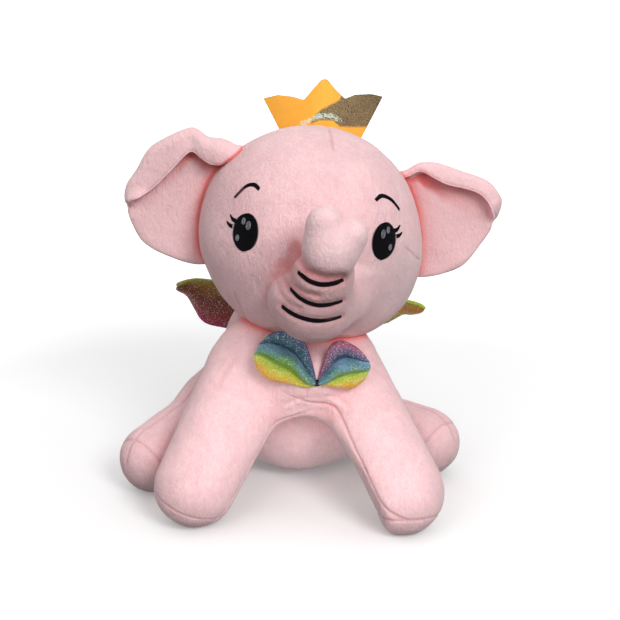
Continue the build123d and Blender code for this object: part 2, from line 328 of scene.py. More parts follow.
# ---- materials ------------------------------------------------------------------------------
class Shader:
    """A node tree that is written as nested calls."""

    def __init__(self, name):
        self.material = bpy.data.materials.new(name)
        self.material.use_nodes = True
        self.nodes = self.material.node_tree.nodes
        self.links = self.material.node_tree.links
        self.surface = self.nodes["Principled BSDF"]

    def put(self, socket, value):
        if isinstance(value, bpy.types.NodeSocket):
            self.links.new(value, socket)
        else:
            socket.default_value = value

    def node(self, kind, settings=None, **inputs):
        made = self.nodes.new(kind)
        for key, value in (settings or {}).items():
            setattr(made, key, value)
        for key, value in inputs.items():
            self.put(made.inputs[key.replace("_", " ")], value)
        return made

    def set(self, **inputs):
        for key, value in inputs.items():
            self.put(self.surface.inputs[key.replace("_", " ")], value)

    def place(self):
        return self.node("ShaderNodeTexCoord").outputs["Object"]

    def noise(self, vector, scale, detail=3.0, roughness=0.5, distortion=0.0):
        made = self.node("ShaderNodeTexNoise", Vector=vector, Scale=scale, Detail=detail,
                         Roughness=roughness, Distortion=distortion)
        return made.outputs["Fac"]

    def stretch(self, vector, *scale):
        return self.node("ShaderNodeMapping", Vector=vector, Scale=scale).outputs["Vector"]

    def ramp(self, fac, *stops):
        made = self.node("ShaderNodeValToRGB", Fac=fac)
        elements = made.color_ramp.elements
        while len(elements) < len(stops):
            elements.new(0.5)
        for element, (place, colour) in zip(elements, stops):
            element.position = place
            element.color = (*colour, 1)
        return made.outputs["Color"]

    def step(self, fac, low, high):
        """Black below low, white above high."""
        return self.ramp(fac, (low, (0, 0, 0)), (high, (1, 1, 1)))

    def mix(self, fac, a, b):
        made = self.node("ShaderNodeMix", {"data_type": "RGBA"})
        self.put(made.inputs[0], fac)
        for socket, value in ((made.inputs[6], a), (made.inputs[7], b)):
            self.put(socket, (*value, 1) if isinstance(value, tuple) else value)
        return made.outputs[2]

    def math(self, operation, a, b=0.0, clamp=False):
        made = self.node("ShaderNodeMath", {"operation": operation, "use_clamp": clamp})
        self.put(made.inputs[0], a)
        self.put(made.inputs[1], b)
        return made.outputs[0]

    def times(self, a, b, clamp=False):
        return self.math("MULTIPLY", a, b, clamp)

    def bump(self, height, strength, distance):
        made = self.node("ShaderNodeBump", Height=height, Strength=strength, Distance=distance)
        return made.outputs["Normal"]

    def mark(self, name):
        return self.node("ShaderNodeAttribute", {"attribute_name": name}).outputs["Fac"]


def velour():
    """Short brushed pile: fine nap, patches stroked the other way, and painted red shade in
    creases.
    """
    s = Shader("pink_velour")
    place = s.place()
    brushed = s.noise(s.stretch(place, 1.0, 1.0, 0.6), 55.0, 4.0, 0.62, 0.8)
    patches = s.step(brushed, 0.42, 0.60)
    mottle = s.step(s.noise(s.stretch(place, 1.0, 1.0, 0.55), 320.0, 3.0, 0.6, 0.5), 0.36, 0.64)
    nap = s.noise(s.stretch(place, 1.0, 1.0, 0.45), 900.0, 2.0, 0.6)
    speck = s.noise(place, 2600.0, 1.0, 0.5)
    stirred = s.math("SUBTRACT", 1.0, s.mark("calm"))
    colour = s.mix(s.times(s.times(patches, 0.6), stirred),
                   (0.96, 0.61, 0.63), (0.80, 0.50, 0.53))
    colour = s.mix(s.times(s.times(mottle, 0.30), stirred),
                   colour, (0.74, 0.40, 0.43))
    colour = s.mix(s.times(s.step(nap, 0.40, 0.62), 0.22), colour, (0.98, 0.84, 0.84))
    # painted sheen: paler, greyer pile on the trunk and a cheek
    colour = s.mix(s.times(s.mark("pale"), 0.45), colour, (0.82, 0.66, 0.66))
    # painted shade: darker velour on the lower muzzle and a temple
    colour = s.mix(s.times(s.mark("dusk"), 0.8), colour, (0.50, 0.25, 0.26))
    # painted shade: deep red in creases, folds and where parts meet
    depth = s.math("POWER", s.mark("painted_shade"), 1.3, True)
    colour = s.mix(s.times(depth, 0.85, True), colour, (0.84, 0.15, 0.14))
    # darker red seams, and painted shade along the muzzle's folds
    colour = s.mix(s.times(s.mark("seam"), 0.55, True), colour, (0.62, 0.27, 0.29))
    height = s.math("ADD", s.times(nap, 0.8), s.times(speck, 0.5))
    height = s.math("ADD", height, s.times(mottle, 0.5))
    s.set(
        Base_Color=colour,
        Roughness=0.92,
        Normal=s.bump(height, 0.75, 0.0009),
        Subsurface_Weight=0.10,
        Subsurface_Radius=(1.0, 0.3, 0.25),
        Subsurface_Scale=0.004,
        Sheen_Weight=0.4,
        Sheen_Roughness=0.45,
        Sheen_Tint=(1.0, 0.92, 0.92, 1),
    )
    s.set(Specular_IOR_Level=0.12)
    return s.material


PINK = velour()


def painted_shade(field, points, normals):
    """How shut in each point is, 0 in the open to 1 deep in a fold; the velour paints shade by it.
    """
    shut, total = 0, 0
    for reach, weight in ((3, 1.0), (7, 0.8), (15, 0.6)):
        open_by = in_chunks(field, points + normals * reach) / reach
        shut = shut + weight * np.clip(1 - open_by, 0, 1)
        total += weight
    return shut / total


# ---- torso and legs -------------------------------------------------------------------------
LEGS = {
    # top: from the joint to the leg's own root, a little inside the body.
    # shift: from the foot's place in the frame to the visible foot's.
    # thick: the leg's radii at its root and foot. seam: how far under its middle the seam runs.
    # facing and sole: which way the sole looks, and how far out its seam lies.
    "front_leg_right": {
        "top": (0, 8, 10), "shift": (0.5, 3, -1), "foot_r": 28, "thick": (32, 28),
        "seam": 9, "facing": (-0.33, 0.2, -0.92), "sole": 7,
    },
    "front_leg_left": {
        "top": (-16, 6, 8), "shift": (-3, 3.5, -1.7), "foot_r": 28.3, "thick": (27, 28.3),
        "seam": -10, "facing": (0.02, -0.25, -0.97), "sole": 14.5,
    },
    "hind_leg_right": {
        "top": (-4, -1, -6), "shift": (0.5, 0, 0), "foot_r": 24, "thick": (30.5, 24.6),
        "facing": (-0.66, -0.68, -0.32), "sole": 9.6,
    },
    "hind_leg_left": {
        "top": (-8, -6, -14), "shift": (-3.5, 1, 0), "foot_r": 26, "thick": (25, 25.5),
        "facing": (0.66, -0.68, -0.32), "sole": 10.4,
    },
}
FILLING_INSET = 1.8  # from a cover's outside to its filling
for leg_name, leg in LEGS.items():
    side = RIGHT if "right" in leg_name else LEFT
    leg["root"] = pivot(f"{leg_name}_swing")
    inset = np.array((-side, 1, 1)) * (leg["foot_r"] - FILLING_INSET)
    leg["foot"] = corner(f"{leg_name}_filling", side, -1, -1) + inset
    leg["foot"] = leg["foot"] + leg["shift"]
    leg["top"] = leg["root"] + leg["top"]
    leg["facing"] = unit(np.array(leg["facing"]))


def leg_frame(name):
    """Along the leg, and two directions across it: outwards and upwards."""
    leg = LEGS[name]
    along = unit(leg["foot"] - leg["top"])
    out = unit(np.cross(along, (0, 0, 1)))
    return along, out, np.cross(out, along)


def foot_field(p, name):
    leg = LEGS[name]
    return limb(p, leg["top"], leg["foot"], *leg["thick"])


def tunnel(p):
    """The arched way between the front legs, which rises forwards."""
    x, y, z = p.T
    aside, below = x + 7.5, z - 65.6 + 0.38 * (y + 30)
    return (below + 0.031 * aside**2) * 0.93 / np.sqrt(1 + (0.062 * aside) ** 2)


def torso_field(p):
    low_belly = oval(p, (-4, 50, 54), (62, 58, 58))
    belly = meet(low_belly, -p[:, 2], 14)
    back = oval(p, (-14, 52, 86), (44, 46, 56))
    chest = oval(p, (-12, 22, 104), (44, 46, 42))
    neck = limb(p, (-10, 20, 104), (0, 18, 132), 42, 36)
    body = join(join(join(belly, back, 24), chest, 22), neck, 8)
    haunch_right = limb(p, (-35, 38, 98), (-63, 46, 44), 16, 34)
    haunch_left = limb(p, (10, 46, 50), (47, 47, 36), 24, 25)
    body = join(join(body, haunch_right, 10), haunch_left, 8)
    hind = join(foot_field(p, "hind_leg_right"), foot_field(p, "hind_leg_left"), 2)
    body = join(body, hind, 8)
    front = join(foot_field(p, "front_leg_right"), foot_field(p, "front_leg_left"), 8)
    shoulder = limb(p, (-32, -2, 101), (14, -2, 100), 33, 31)
    bib = oval(p, (-7, -20, 80), (38, 23, 24))
    breast = oval(p, (-3, -22, 97), (33, 30.5, 23))
    panel = join(join(front, shoulder, 10), join(bib, breast, 10), 10)
    panel = meet(panel, -tunnel(p), 4)
    cover = join(body, panel, 2.5) + body_seams(p) + puckers(p) + wrinkles(p)
    return meet(cover, -p[:, 2], 1.5)


PUCKERS = (  # place, and the fold's turn from the level
    (-60, -22, 103, 0.9),
    (-66, -24, 94, 0.6),
    (52, -22, 100, -0.9),
    (-14, -34, 84, 0.5),
    (16, -34, 84, -0.5),
)


def puckers(p):
    """Pulled cloth where a front leg meets the flank, and round the seams' ends."""
    folds = 0
    for x, y, z, turn in PUCKERS:
        q = p - (x, y, z)
        a = q[:, 0] * cos(turn) + q[:, 2] * sin(turn)
        b = -q[:, 0] * sin(turn) + q[:, 2] * cos(turn)
        fold = groove(b + a * a * 0.02, 1.6) - 0.5 * groove(b + 3.4, 2.0)
        folds = folds + fold * groove(a, 12) * groove(q[:, 1], 22)
    return 1.1 * folds


def body_seams(p):
    """1 on the lines where the cover's panels are sewn together, 0 away from them."""
    x, y, z = p.T
    lines = groove(x, 0.9) * (y > 60)
    lines = lines + 0.5 * groove(x + 6, 0.7) * ((y < -4) & (z > 82) & (z < 94))
    for name, leg in LEGS.items():
        along, out, up = leg_frame(name)
        q = p - leg["top"]
        t, side, under = q @ along, q @ out, -(q @ up)
        inner = (RIGHT if "right" in name else LEFT) * side * np.sign(out[0] or 1)
        near = (norm(p - (leg["top"] + leg["foot"]) / 2) < norm(leg["top"] - leg["foot"])) * 1.0
        if "front" in name:
            line, shown = under - leg["seam"], ramp(-inner, 6, 12)
        else:
            line, shown = side, ramp(-under, 4, 10)
        lines = np.maximum(lines, groove(line, 0.9) * shown * ramp(t, 6, 16) * near)
        sewn = groove((p - leg["foot"]) @ leg["facing"] - leg["sole"], 0.8)
        away = norm(p - leg["foot"])
        round_foot = (away < leg["foot_r"] + 6) * (away > leg["foot_r"] * 0.6)
        lines = np.maximum(lines, 0.8 * sewn * round_foot)
    return lines


def wrinkles(p):
    """Stuffing felt through the cloth."""
    return 0.55 * noise(p, 27, 0) + 0.3 * noise(p, 12, 1) + 0.10 * noise(p, 5, 2)


def cut(points, quads, tests):
    """Sorts quads by the first test that their middle passes; the rest are under None."""
    middles = points[quads].mean(1)
    free = np.ones(len(quads), bool)
    found = {}
    for name, test in tests.items():
        chosen = free & test(middles)
        found[name] = quads[chosen]
        free &= ~chosen
    found[None] = quads[free]
    return found


LEG_CUT = {"front": 0.28, "hind": 0.45}  # share of the way from root to foot


def leg_test(name):
    leg = LEGS[name]
    along = leg["foot"] - leg["root"]
    share = LEG_CUT[name.split("_")[0]]

    def test(p):
        t = (p - leg["root"]) @ along / (along @ along)
        nearest = np.minimum.reduce([foot_field(p, other) for other in LEGS])
        near = limb(p, leg["root"], leg["foot"], 36, 34) < 4
        return (t > share) & near & (foot_field(p, name) <= nearest)

    return test


def settle(piece, body, nodes):
    """Parents a piece to its body, or only fixes its place when given a bend, and hides the nodes
    it stands for.
    """
    if isinstance(body, str):
        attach(piece, body)
    else:
        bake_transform(piece)
    if nodes:
        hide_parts(*nodes)
    return piece


def make_body():
    points, quads = skin(torso_field, (-148, -122, -4), (130, 116, 172), BODY_STEP)
    normals = vertex_normals(points, quads)
    # painted shade in the body's creases, from how shut in each point is
    marks = {"painted_shade": painted_shade(toy_field, points, normals), "seam": body_seams(points)}
    parts = cut(points, quads, {name: leg_test(name) for name in LEGS})
    for name, leg in LEGS.items():
        piece = make_object(name, points, parts[name], PINK, normals, **marks)
        share = LEG_CUT[name.split("_")[0]]
        start = leg["root"] + (leg["foot"] - leg["root"]) * (share + 0.02)
        bend = ("torso", name, start / MM, leg["foot"] / MM)
        nodes = [f"{name}_{layer}" for layer in ("cover", "sole", "filling")]
        settle(piece, bend, nodes)
    torso = make_object("torso", points, parts[None], PINK, normals, **marks)
    nodes = ["torso_chest_cover", "torso_right_flank_cover", "torso_left_flank_cover"]
    nodes += ["torso_base_cover", "torso_filling", "neck_filling"]
    settle(torso, "torso", nodes)


BODY_STEP = 2.2
HEAD_STEP = 2.0


# ---- head, muzzle and trunk -----------------------------------------------------------------
HEAD_DARTS = (  # across and up from the head's middle
    ((-50.6, -37.3), (-44.8, -51.3), (-37.3, -67.8)),
    ((60.7, 0.6), (66.9, -4.8), (74.7, -11.8)),
)


def beside(flat, line):
    """How far flat points are from a line of straight pieces."""
    found = np.full(len(flat), 1e3)
    for a, b in zip(np.array(line[:-1], float), np.array(line[1:], float)):
        share = np.clip((flat - a) @ (b - a) / ((b - a) @ (b - a)), 0, 1)
        found = np.minimum(found, norm(flat - a - share[:, None] * (b - a)))
    return found


def trunk_field(q):
    """The muzzle's bulge and the raised trunk, in the head's own axes."""
    bulge = oval(q, (-0.5, -68, -32.2), (30, 27, 22.8))
    root = limb(q, (-2, -82, -32), (2, -97, -10), 24, 19)
    tube = limb(q, (-0.5, -97, -10), (3.2, -110, 10), 18.2, 15.6)
    snout = join(join(bulge, root, 10), tube, 5)
    lobe_left = limb(q, (-1.4, -110, 24.6), (2.2, -109, 8), 11.6, 14.8)
    lobe_right = limb(q, (14.3, -110, 18.5), (4, -109, 5), 11.2, 14.5)
    return join(snout, join(lobe_left, lobe_right, 3.5), 5) + muzzle_folds(q)


MUZZLE_FOLDS = (  # width, depth, and the fold's line across and up from the head's middle
    (3.4, 2.4, ((-15.4, 4.1), (-10.7, -3.0), (-0.8, -5.4), (9.7, -5.4))),
    (2.2, 1.7, ((-18.1, -0.3), (-19.7, -7.6), (-17.6, -14.7), (-11, -17.6), (-3, -18.6))),
    (2.2, 1.6, ((-23.8, -7.5), (-22.6, -15.2), (-19.6, -20.2))),
    (2.2, 0.9, ((-25.5, -17), (-24.3, -23.5), (-20.0, -27.6), (-13, -29.6))),
    (2.6, 1.1, ((-15, -6.5), (-9, -9.7), (-1.5, -11.1), (6.3, -10), (11.5, -8.5))),
    (2.6, 1.3, ((-18, -19), (-12.6, -22.4), (-4.7, -24.9), (3.2, -24.7), (12.6, -22.6))),
    (2.6, 1.3, ((-22.3, -31.6), (-15.8, -34.2), (-6.7, -36), (1.4, -36.2), (13.6, -34.4))),
)


def muzzle_folds(q):
    """Folds where the cloth is gathered under the raised trunk and along its stitched lines."""
    front = q[:, 1] < -60
    depth = np.zeros(len(q))
    for width, deep, line in MUZZLE_FOLDS:
        depth[front] += deep * groove(beside(q[front][:, [0, 2]], line), width)
    return depth


def head_seams(q):
    """1 on the head's seams and darts, 0 away from them."""
    x, y, z = q.T
    top = groove(x - 8.5 * ramp(-y, -60, 0), 0.8) * ramp(z, 59, 63) * (y < 20)
    rear = groove(x, 0.9) * (y >= 20)
    side = groove(y - 16, 0.9)
    lines = [top, rear, side]
    for line in HEAD_DARTS:
        lines.append(0.6 * groove(beside(q[:, [0, 2]], line), 0.7) * (y < 0))
    return np.maximum.reduce(lines)


def head_field(p):
    q = to_head(p)
    jaw = oval(q, (9, -3, -20), (70, 56, 58))
    face = join(oval(q, (0, 0, 0), HEAD_RADII), jaw, 12) + head_seams(q)
    softness = 2.5 + 24 * ramp(q[:, 0], 2, 26) * ramp(-q[:, 2], 0, 16)
    return join(face, trunk_field(q), softness) + wrinkles(p)


def toy_field(p):
    return np.minimum(head_field(p), torso_field(p))


make_body()


def trace(field, starts, directions, rounds=24):
    """Marches points along directions until they meet a field."""
    for _ in range(rounds):
        starts = starts + directions * field(starts)[:, None] * 0.9
    return starts


TRUNK_ROOT_SHADE = ((-25, -7), (-12.5, 6))  # the line of painted shade beside the trunk's root
HEAD_ROOM, TRUNK_ROOM = 84, 60  # how far the mesh grid reaches round the head, and before it


def trunk_bend_line():
    """Where the trunk starts to bend, and where all of it has bent."""
    return from_head(2, -92, -20), from_head(5, -103, 2)


def head_marks(points, normals):
    """Marks for the head's velour: painted shade in creases, darker seams, painted sheen and
    painted darker shade.
    """
    q = to_head(points)
    x, y, z = q.T
    flat, snout = q[:, [0, 2]], trunk_field(q)
    face, on_muzzle = y < 20, y < -50
    seam = head_seams(q) * (snout > 2)
    # painted shade where the head meets an ear
    ear_root_shade = groove(y - 2, 7) * ramp(np.abs(x), 52, 62) * ramp(60 - z, 0, 12)
    shut = np.maximum(painted_shade(toy_field, points, normals), 0.8 * ear_root_shade * ramp(z, -50, -34))
    # painted shade along the muzzle's folds
    folded = 0
    for width, deep, line in MUZZLE_FOLDS:
        folded = folded + 0.28 * deep * groove(beside(flat, line), width)
    # painted shade beside the trunk's root
    root_shade = 1.1 * groove(beside(flat, TRUNK_ROOT_SHADE), 7) * ramp(snout, 0.5, 2.5)
    root_shade = root_shade * ramp(12 - snout, 0, 10)
    on_snout = ramp(-snout, -3, 2)
    # painted shade on the lower muzzle
    muzzle = on_snout * ramp(-z, -5, 5)
    # painted shade on the right temple, the side away from the key lamp
    temple = 0.3 * ramp(-x, 30, 52) * ramp(z, 4, 24)
    # painted sheen on the left cheek
    left_cheek = 0.8 * ramp(x, 18, 46) * ramp(-z, -12, 12)
    return {
        # painted shade in creases, along the muzzle's folds and beside the trunk's root
        "painted_shade": np.maximum(shut, np.maximum(folded, root_shade) * on_muzzle),
        # darker seams, with painted shade along the muzzle's folds
        "seam": np.maximum(seam, 1.1 * folded * on_muzzle),
        # painted sheen: paler, greyer pile on the trunk, the upper muzzle and the left cheek
        "pale": np.maximum(on_snout * (1 - muzzle), left_cheek * face),
        # painted shade: darker lower muzzle and right temple
        "dusk": np.maximum(muzzle, temple) * face,
    }


def make_head():
    low, high = HEAD_AT - HEAD_ROOM - (0, TRUNK_ROOM, 0), HEAD_AT + HEAD_ROOM
    points, quads = skin(head_field, low, high, HEAD_STEP)
    normals = vertex_normals(points, quads)
    marks = head_marks(points, normals)
    root, tip = trunk_bend_line()
    along = tip - root

    def trunk_test(p):
        t = (p - root) @ along / (along @ along)
        return (t > -0.1) & (to_head(p)[:, 1] < -76)

    parts = cut(points, quads, {"trunk": trunk_test})
    trunk = make_object("trunk", points, parts["trunk"], PINK, normals, **marks)
    bend = ("head", "trunk", root / MM, tip / MM)
    settle(trunk, bend, ["trunk_cover", "trunk_tip_cover", "trunk_filling"])
    head = make_object("head", points, parts[None], PINK, normals, **marks)
    nodes = ["head_face_cover", "head_back_right_cover", "head_back_left_cover", "head_filling"]
    settle(head, "head", nodes + ["muzzle_cover", "muzzle_filling"])


make_head()


# ---- embroidery -----------------------------------------------------------------------------
THREAD_PITCH = 0.42
THREAD_SIDES = 6


def on_face(turn, rise):
    """Points on the head's surface by degrees out from the middle of the face and up."""
    turn, rise = np.radians(turn), np.radians(rise)
    flat = np.cos(rise)
    look = np.stack((np.sin(turn) * flat, -np.cos(turn) * flat, np.sin(rise)), axis=-1)
    look = look @ HEAD_AXES.T
    return trace(head_field, HEAD_AT + look * 100, -look)


def curve_at(padded, t):
    """A Catmull-Rom curve at parameters t; its first and last points only steer it."""
    i = t.astype(int)
    f = (t - i)[:, None]
    a, b, c, d = (padded[i + k] for k in range(4))
    return b + 0.5 * f * (c - a + f * (2 * a - 5 * b + 4 * c - d + f * (3 * (b - c) + d - a)))


def smooth_path(points, samples):
    """A smooth open curve through points."""
    points = np.asarray(points, float)
    before, after = 2 * points[0] - points[1], 2 * points[-1] - points[-2]
    padded = np.concatenate((before[None], points, after[None]))
    return curve_at(padded, np.linspace(0, len(points) - 1 - 1e-9, samples))


def tubes(lines, radius):
    """Closed six-sided tubes along lines of equally many points, as points and quads."""
    sides = THREAD_SIDES
    all_points, all_quads, first = [], [], 0
    for line in lines:
        ahead = unit(np.gradient(line, axis=0))
        across = unit(np.cross(ahead, (0.21, 0.37, 0.9)))
        up = np.cross(across, ahead)
        taper = np.ones(len(line))
        taper[[0, -1]] = 0.35
        angles = np.arange(sides) * 2 * pi / sides
        ring = across[:, None] * np.cos(angles)[:, None] + up[:, None] * np.sin(angles)[:, None]
        points = line[:, None] + ring * (radius * taper)[:, None, None]
        count = len(line)
        index = np.arange(count * sides).reshape(count, sides) + first
        turned = np.roll(index, -1, axis=1)
        quads = np.stack((index[:-1], turned[:-1], turned[1:], index[1:]), axis=-1).reshape(-1, 4)
        caps = []
        for ring_index, order in ((index[0], -1), (index[-1], 1)):
            loop = ring_index[::order]
            caps += [(loop[0], loop[1], loop[2], loop[3]), (loop[0], loop[3], loop[4], loop[5])]
        all_points.append(points.reshape(-1, 3))
        all_quads += [quads, np.array(caps)]
        first += count * sides
    return np.concatenate(all_points), np.concatenate(all_quads)


def satin_lines(path, widths, height, steps):
    """The threads across one path: arches whose ends go into the cloth."""
    rough = smooth_path(path, 60)
    length = norm(np.diff(rough, axis=0)).sum()
    count = max(int(length / THREAD_PITCH), 3)
    places = smooth_path(path, count)
    reach = np.interp(np.linspace(0, 1, count), np.linspace(0, 1, len(widths)), widths) / 2
    ahead = unit(np.gradient(places, axis=0))
    out = unit(slope_of(head_field, places))
    across = np.cross(ahead, out)
    share = np.linspace(-1, 1, steps)
    flat = places[:, None] + across[:, None] * (reach[:, None] * share)[:, :, None]
    flat = flat + 0.35 * ahead[:, None] * (share[:, None])[None]
    flat = draw_on(head_field, flat.reshape(-1, 3), rounds=3).reshape(count, steps, 3)
    arch = height * np.sqrt(np.clip(1 - share**2, 0, 1))
    rise = arch * np.minimum(1, reach / 1.2)[:, None] - 0.12
    return flat + out[:, None] * rise[:, :, None]


def stitch_set(name, bars, height, steps, body="head", node=None):
    """Black satin stitch over bars of a path and its widths; it stands for one node."""
    lines = []
    for path, widths in bars:
        lines += list(satin_lines(path, widths, height, steps))
    points, quads = tubes(lines, THREAD_PITCH * 0.56)
    settle(make_object(name, points, quads, BLACK), body, [node or name])


def thread(name, colour, roughness):
    """Twisted shiny thread: fine plies and a broken highlight."""
    s = Shader(name)
    place = s.place()
    plies = s.noise(place, 5200.0, 2.0, 0.6)
    tone = s.noise(place, 420.0, 2.0, 0.5)
    darker = tuple(c * 0.45 for c in colour)
    s.set(
        Base_Color=s.mix(tone, colour, darker),
        Roughness=roughness,
        Normal=s.bump(plies, 0.5, 0.0001),
    )
    s.set(Specular_IOR_Level=0.05)
    return s.material


BLACK = thread("black_thread", (0.004, 0.004, 0.006), 0.6)
GREY = thread("grey_thread", (0.33, 0.34, 0.37), 0.42)

EYES = {  # degrees out and up from the middle of the face, half sizes across and up, and tilt
    "right": (-39.6, 5.6, 8.3, 9.6, 0.0),
    "left": (36.8, 5.2, 8.6, 9.4, -0.14),
}
HIGHLIGHTS = ((1.2, 5.4, 1.5), (-2.0, 3.7, 1.9), (3.8, -3.3, 1.4))  # out, up, radius
EYE_END = 0.985  # share of the eye's half height at which its first and last threads lie
LASHES = (((6.6, 4.6), (11.2, 6.9)), ((8.4, 1.6), (12.9, 3.2)))
BROWS = {
    "right": ((-36.9, 28.3), (-41.5, 30.1), (-46.4, 28.4), (-51.0, 21.5)),
    "left": ((33.8, 26.2), (39.4, 28.2), (45.9, 25.6), (50.9, 20.0)),
}


def make_eye(side):
    sign = SIDES[side]
    turn, rise, half_turn, half_rise, tilt = EYES[side]

    def place(out, up):
        out, up = np.asarray(out, float), np.asarray(up, float)
        across = turn + sign * (out - tilt * up)
        return on_face(np.atleast_1d(across), np.atleast_1d(rise + up))

    t = np.linspace(-EYE_END, EYE_END, 15)
    column = place(t * 0, t * half_rise)
    middles = np.linspace(-1, 1, 60)
    edge = on_face(turn + np.array((-half_turn, half_turn)), np.array((rise, rise)))
    width = norm(edge[1] - edge[0])
    widths = width * np.sqrt(np.clip(1 - (middles * EYE_END) ** 2, 0, 1))
    stitch_set(f"eye_{side}_patch", [(column, widths)], 0.75, 15)
    rings = []
    angles = np.linspace(0, 2 * pi, 13)
    for out, up, outer_r in HIGHLIGHTS:
        for r in (outer_r, outer_r * 0.45):
            loop = place(out + np.cos(angles) * r * 0.62, up + np.sin(angles) * r)
            rings.append(smooth_path(loop + slope_of(head_field, loop) * 0.95, 40))
    points, quads = tubes(rings, 0.30)
    shine = make_object(f"eye_{side}_highlights", points, quads, GREY)
    settle(shine, "head", [f"eye_{side}_highlights"])
    bars = []
    for (out_a, up_a), (out_b, up_b) in LASHES:
        outs = np.array((out_a, (out_a + out_b) / 2, out_b))
        ups = np.array((up_a, 0.78 * up_a + 0.22 * up_b, up_b))
        bars.append((place(outs, ups), (3.2, 2.6, 1.1)))
    stitch_set(f"eye_{side}_lashes", bars, 0.5, 7)
    brow = on_face(*np.array(BROWS[side]).T)
    stitch_set(f"brow_{side}", [(brow, (2.5, 3.1, 3.1, 2.8, 2.3))], 0.5, 7)


TRUNK_LINES = (  # across and up from the middle of the head
    ((-15, -6), (-9, -9.2), (-1.5, -10.6), (6.3, -9.5), (11.5, -8)),
    ((-18, -19), (-12.6, -22.4), (-4.7, -24.9), (3.2, -24.7), (12.6, -22.6)),
    ((-22.3, -31.6), (-15.8, -34.2), (-6.7, -36), (1.4, -36.2), (13.6, -34.4)),
)


def make_trunk_lines():
    bars = []
    for line in TRUNK_LINES:
        flat = smooth_path(line, 24)
        in_front = np.stack((flat[:, 0], np.full(len(flat), -160), flat[:, 1]), axis=-1)
        starts = HEAD_AT + in_front @ HEAD_AXES.T
        path = trace(head_field, starts, LEAN_Y, 50)
        bars.append((path, (2.6, 3.2, 3.4, 3.4, 3.2, 2.4)))
    root, tip = trunk_bend_line()
    bend = ("head", "trunk", root / MM, tip / MM)
    stitch_set("trunk_lines", bars, 0.8, 9, bend, "trunk_line_stitching")


for eye_side in SIDES:
    make_eye(eye_side)
make_trunk_lines()


# ---- ears -----------------------------------------------------------------------------------
def closed_curve(outline, samples):
    """A smooth closed curve through given points."""
    points = np.array(outline, float)
    wrapped = np.concatenate((points[-1:], points, points[:2]))
    return curve_at(wrapped, np.linspace(0, len(points), samples, endpoint=False))


EARS = {
    # outline: out from the toy's middle and up, from the ear's top over its outer side.
    # lip: where the folded flap's edge lies, from the outer end of the fold to its inner end.
    # shade: where the shade beneath the flap begins; shut: how deep it is, by degrees.
    # turn and roll: by degrees round the ear, 0 at its bottom, 90 outwards and 180 at its top,
    # how far the fold turns over, and the radius that it turns round.
    "right": {
        "outline": (
            (44, 245), (50, 251), (58, 254.5), (65, 255), (69.5, 256.5), (74, 260), (80, 261.5),
            (92, 257), (108, 247.5), (117.5, 233), (125, 222), (127, 210), (124, 196),
            (116, 181), (99, 171), (78, 165), (62, 172), (54, 205),
        ),
        "centre": (84, 206),
        "lip": ((124, 206), (121, 211.5), (114, 215.5), (105.4, 221.5), (95.6, 230.5), (86.6, 240),
                (79, 246), (72.5, 242), (65.5, 238), (57.7, 238), (52, 241), (42, 246)),
        "shade": ((124, 205), (110, 211), (96, 223), (86, 233), (79, 239), (73, 232), (66, 231),
                  (57, 236), (46, 243)),
        "shut": ((90, 0.0), (110, 0.1), (160, 0.3), (184, 0.95), (215, 1.0), (240, 0.9)),
        "turn": ((83, 4), (100, 112), (118, 168), (140, 172), (165, 168), (186, 160), (197, 170),
                 (212, 175), (235, 160), (255, 20)),
        "roll": ((86, 2.5), (115, 4.0), (150, 4.6), (172, 5.0), (186, 4.0), (197, 6.5), (210, 8.5),
                 (235, 8.5)),
    },
    "left": {
        "outline": (
            (56, 224), (70, 231.5), (77, 235.5), (83, 236.5), (92, 235.5), (108, 230), (125, 224),
            (134, 215), (136.5, 207), (132, 190.5), (122.5, 175), (111, 161.5), (95, 155),
            (78, 153.5), (63, 160), (56, 190),
        ),
        "centre": (92, 194),
        "lip": ((131, 193), (130.5, 198), (129, 204), (125.5, 210.5), (119.5, 215.8), (108, 219.5),
                (97, 222), (88, 226.5), (79, 230.5), (70, 227), (58, 222), (46, 218)),
        "shade": ((127, 193), (116, 196), (104.6, 202), (94.8, 208), (83.6, 216), (74, 224),
                  (60, 220)),
        "shut": ((80, 0.1), (120, 0.3), (165, 0.55), (200, 1.0), (240, 0.9)),
        "turn": ((80, 5), (88, 60), (97, 110), (115, 140), (150, 148), (200, 145), (240, 120),
                 (262, 10)),
        "roll": ((82, 2.0), (100, 3.2), (125, 5.0), (160, 5.5), (210, 5.0)),
    },
}
EAR_SPOKES, EAR_STEPS = 240, 52
EAR_HALF_THICK = 4.0
EAR_SWEEP = radians(6)  # how far the ears lean back or forward from straight out
EAR_RIM = 2.6  # from the middle of the cloth to the rim, where it rolls over
EAR_DISH, EAR_SINK = 6.5, 2.5  # the rim stands forward, the middle back


def eased_round(values, smooth=13):
    """Numbers at all the spokes, smoothed round the ear."""
    kernel = np.hanning(smooth) / np.hanning(smooth).sum()
    padded = np.concatenate((values[-smooth:], values, values[:smooth]))
    return np.convolve(padded, kernel, "same")[smooth:-smooth]


def eased(around, table):
    """A table of (degrees, number) read at each spoke, with its corners rounded."""
    return eased_round(np.interp(around, *np.array(table, float).T))


def degrees_round(flat):
    """Where points out and up from an ear's middle lie round it; 0 is its bottom, 90 outwards."""
    return np.degrees(np.arctan2(flat[:, 0], -flat[:, 1])) % 360


